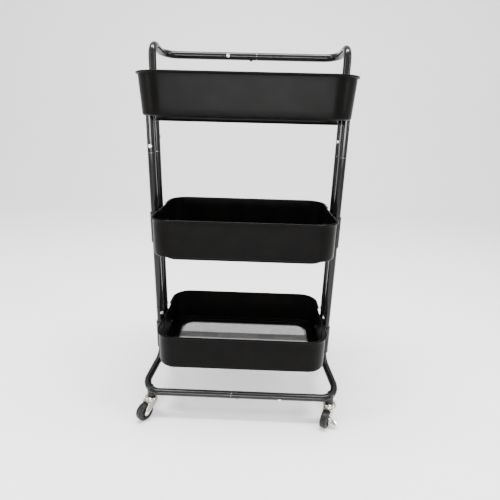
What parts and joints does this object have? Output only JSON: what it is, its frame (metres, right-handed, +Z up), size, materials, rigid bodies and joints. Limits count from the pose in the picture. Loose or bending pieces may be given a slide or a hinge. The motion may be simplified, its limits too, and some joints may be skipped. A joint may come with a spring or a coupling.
{
  "type": "rolling utility cart",
  "caption": "Tiered rolling utility cart with a black tube frame, sheet-steel baskets with mesh floors, a rear push handle and swivel casters, some braked.",
  "frame": {"origin": "on the floor under the middle of the cart, wheels touching Z = 0", "axes": "+Z up, +X to the right seen from the front, -Y towards the front; the handle is on the rear, +Y side"},
  "size_m": [0.4598, 0.3026, 0.7991],
  "materials": {
    "powder_coated_tube": "gloss",
    "powder_coated_sheet": "satin",
    "mesh_steel": "satin",
    "bare_steel": "satin",
    "blackened_screw": "satin",
    "zinc_screw": "polished",
    "bright_zinc": "polished",
    "black_plastic": "satin",
    "black_rubber": "matte"
  },
  "bodies": {
    "frame": {"bar_sleeves": "bare_steel", "base_tube_front_left": "powder_coated_tube", "base_tube_front_right": "powder_coated_tube", "base_tube_rear_left": "powder_coated_tube", "base_tube_rear_right": "powder_coated_tube", "basket_bottom": "powder_coated_sheet", "basket_middle": "powder_coated_sheet", "basket_top": "powder_coated_sheet", "caster_stem_front_left": "bright_zinc", "caster_stem_front_right": "bright_zinc", "caster_stem_rear_left": "bright_zinc", "caster_stem_rear_right": "bright_zinc", "clamp_bolts": "blackened_screw", "clamp_bottom_left": "powder_coated_tube", "clamp_bottom_right": "powder_coated_tube", "clamp_middle_left": "powder_coated_tube", "clamp_middle_right": "powder_coated_tube", "clamp_pads": "powder_coated_tube", "clamp_top_left": "powder_coated_tube", "clamp_top_right": "powder_coated_tube", "front_tube_left": "powder_coated_tube", "front_tube_right": "powder_coated_tube", "handle_left": "powder_coated_tube", "handle_right": "powder_coated_tube", "joint_screws": "zinc_screw", "mesh_bottom": "mesh_steel", "mesh_middle": "mesh_steel", "mesh_top": "mesh_steel", "post_front_left": "powder_coated_tube", "post_front_right": "powder_coated_tube", "post_rear_left": "powder_coated_tube", "post_rear_right": "powder_coated_tube", "post_sleeves": "bare_steel", "tube_caps": "black_plastic", "wall_screws": "zinc_screw"},
    "swivel_front_left": {"caster_fork_front_left": "bright_zinc", "wheel_axle_front_left": "bright_zinc"},
    "wheel_front_left": {"wheel_hub_front_left": "black_plastic", "wheel_tyre_front_left": "black_rubber"},
    "swivel_front_right": {"caster_fork_front_right": "bright_zinc", "wheel_axle_front_right": "bright_zinc"},
    "wheel_front_right": {"wheel_hub_front_right": "black_plastic", "wheel_tyre_front_right": "black_rubber"},
    "brake_front_right": {"brake_lever_front_right": "bright_zinc"},
    "swivel_rear_right": {"caster_fork_rear_right": "bright_zinc", "wheel_axle_rear_right": "bright_zinc"},
    "wheel_rear_right": {"wheel_hub_rear_right": "black_plastic", "wheel_tyre_rear_right": "black_rubber"},
    "swivel_rear_left": {"caster_fork_rear_left": "bright_zinc", "wheel_axle_rear_left": "bright_zinc"},
    "wheel_rear_left": {"wheel_hub_rear_left": "black_plastic", "wheel_tyre_rear_left": "black_rubber"},
    "brake_rear_left": {"brake_lever_rear_left": "bright_zinc"}
  },
  "joints": [
    {"name": "caster_swivel_front_left", "type": "hinge", "parent": "frame", "child": "swivel_front_left", "pos_m": [-0.202, -0.114, 0.046], "axis": [0, 0, 1], "continuous": true},
    {"name": "wheel_spin_front_left", "type": "hinge", "parent": "swivel_front_left", "child": "wheel_front_left", "pos_m": [-0.21347, -0.13038, 0.02], "axis": [0.8192, -0.5736, 0], "continuous": true},
    {"name": "caster_swivel_front_right", "type": "hinge", "parent": "frame", "child": "swivel_front_right", "pos_m": [0.202, -0.114, 0.046], "axis": [0, 0, 1], "continuous": true},
    {"name": "wheel_spin_front_right", "type": "hinge", "parent": "swivel_front_right", "child": "wheel_front_right", "pos_m": [0.192, -0.13132, 0.02], "axis": [0.866, -0.5, 0], "continuous": true},
    {"name": "brake_press_front_right", "type": "hinge", "parent": "swivel_front_right", "child": "brake_front_right", "pos_m": [0.192, -0.13132, 0.02], "axis": [-0.866, 0.5, 0], "range_deg": [0, 20]},
    {"name": "caster_swivel_rear_right", "type": "hinge", "parent": "frame", "child": "swivel_rear_right", "pos_m": [0.202, 0.114, 0.046], "axis": [0, 0, 1], "continuous": true},
    {"name": "wheel_spin_rear_right", "type": "hinge", "parent": "swivel_rear_right", "child": "wheel_rear_right", "pos_m": [0.21347, 0.13038, 0.02], "axis": [-0.8192, 0.5736, 0], "continuous": true},
    {"name": "caster_swivel_rear_left", "type": "hinge", "parent": "frame", "child": "swivel_rear_left", "pos_m": [-0.202, 0.114, 0.046], "axis": [0, 0, 1], "continuous": true},
    {"name": "wheel_spin_rear_left", "type": "hinge", "parent": "swivel_rear_left", "child": "wheel_rear_left", "pos_m": [-0.192, 0.13132, 0.02], "axis": [-0.866, 0.5, 0], "continuous": true},
    {"name": "brake_press_rear_left", "type": "hinge", "parent": "swivel_rear_left", "child": "brake_rear_left", "pos_m": [-0.192, 0.13132, 0.02], "axis": [0.866, -0.5, 0], "range_deg": [0, 20]}
  ]
}
